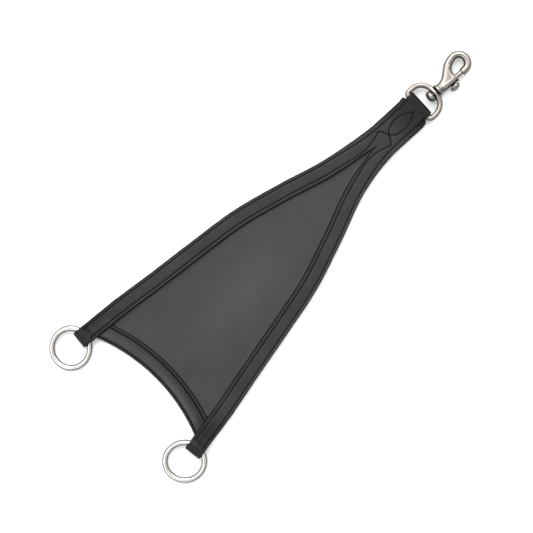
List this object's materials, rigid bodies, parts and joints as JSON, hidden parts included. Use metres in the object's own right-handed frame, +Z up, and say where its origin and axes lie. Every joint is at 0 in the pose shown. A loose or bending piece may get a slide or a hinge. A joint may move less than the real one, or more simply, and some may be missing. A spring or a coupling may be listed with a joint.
{
  "type": "bib martingale",
  "caption": "Leather bib martingale attachment: a tapered bib in a Y-shaped sewn yoke, a steel ring on each leg and a swivel bolt snap at the top.",
  "frame": {"origin": "middle of the box round the whole part, on the surface it lies on (bottom centre of the box)", "axes": "+Y runs up the bib from the two leg rings to the snap, +X across to the right-hand leg seen from the front, +Z up out of the front face"},
  "size_m": [0.2053, 0.5118, 0.0136],
  "materials": {
    "strap_leather": "smooth dyed bridle leather, semi-matt, charcoal black",
    "panel_leather": "fine-grained softer leather, matt, charcoal",
    "filler_leather": "raw unfinished filler, hidden",
    "thread": "waxed black sewing thread",
    "ring_steel": "polished welded steel wire",
    "snap_metal": "nickel-plated casting, satin to bright",
    "spring_steel": "drawn spring wire"
  },
  "bodies": {
    "bib": {"bib_panel": "panel_leather", "front_yoke": "strap_leather", "back_yoke": "strap_leather", "tab_filler": "filler_leather", "hem_facing": "strap_leather", "hem_padding": "filler_leather", "outer_seam_left": "thread", "outer_seam_right": "thread", "inner_seam_left": "thread", "inner_seam_right": "thread", "hem_upper_seam": "thread", "hem_lower_seam": "thread"},
    "left_ring": {"left_ring": "ring_steel"},
    "right_ring": {"right_ring": "ring_steel"},
    "swivel": {"swivel_eye": "snap_metal"},
    "snap": {"snap_body": "snap_metal", "swivel_rivet": "snap_metal", "bolt_spring": "spring_steel"},
    "bolt": {"snap_bolt": "snap_metal", "thumb_stud": "snap_metal"}
  },
  "joints": [
    {"name": "left_ring_swing", "type": "hinge", "parent": "bib", "child": "left_ring", "pos_m": [-0.07852, -0.21207, 0.0068], "axis": [-0.9909, 0.1349, 0], "range_deg": [-135, 165]},
    {"name": "right_ring_swing", "type": "hinge", "parent": "bib", "child": "right_ring", "pos_m": [0.07939, -0.21585, 0.0068], "axis": [-0.996, -0.0889, 0], "range_deg": [-135, 165]},
    {"name": "eye_swing", "type": "hinge", "parent": "bib", "child": "swivel", "pos_m": [0.00659, 0.18405, 0.0065], "axis": [0.9973, -0.0732, 0], "range_deg": [-105, 125]},
    {"name": "snap_swivel", "type": "hinge", "parent": "swivel", "child": "snap", "pos_m": [0.00815, 0.20529, 0.0065], "axis": [0.0732, 0.9973, 0], "continuous": true},
    {"name": "bolt_slide", "type": "slide", "parent": "snap", "child": "bolt", "axis": [-0.0732, -0.9973, 0], "range_m": [0, 0.0075], "stiffness_N_per_m": 300, "springref_m": -0.005, "deforming": ["bolt_spring"]}
  ]
}
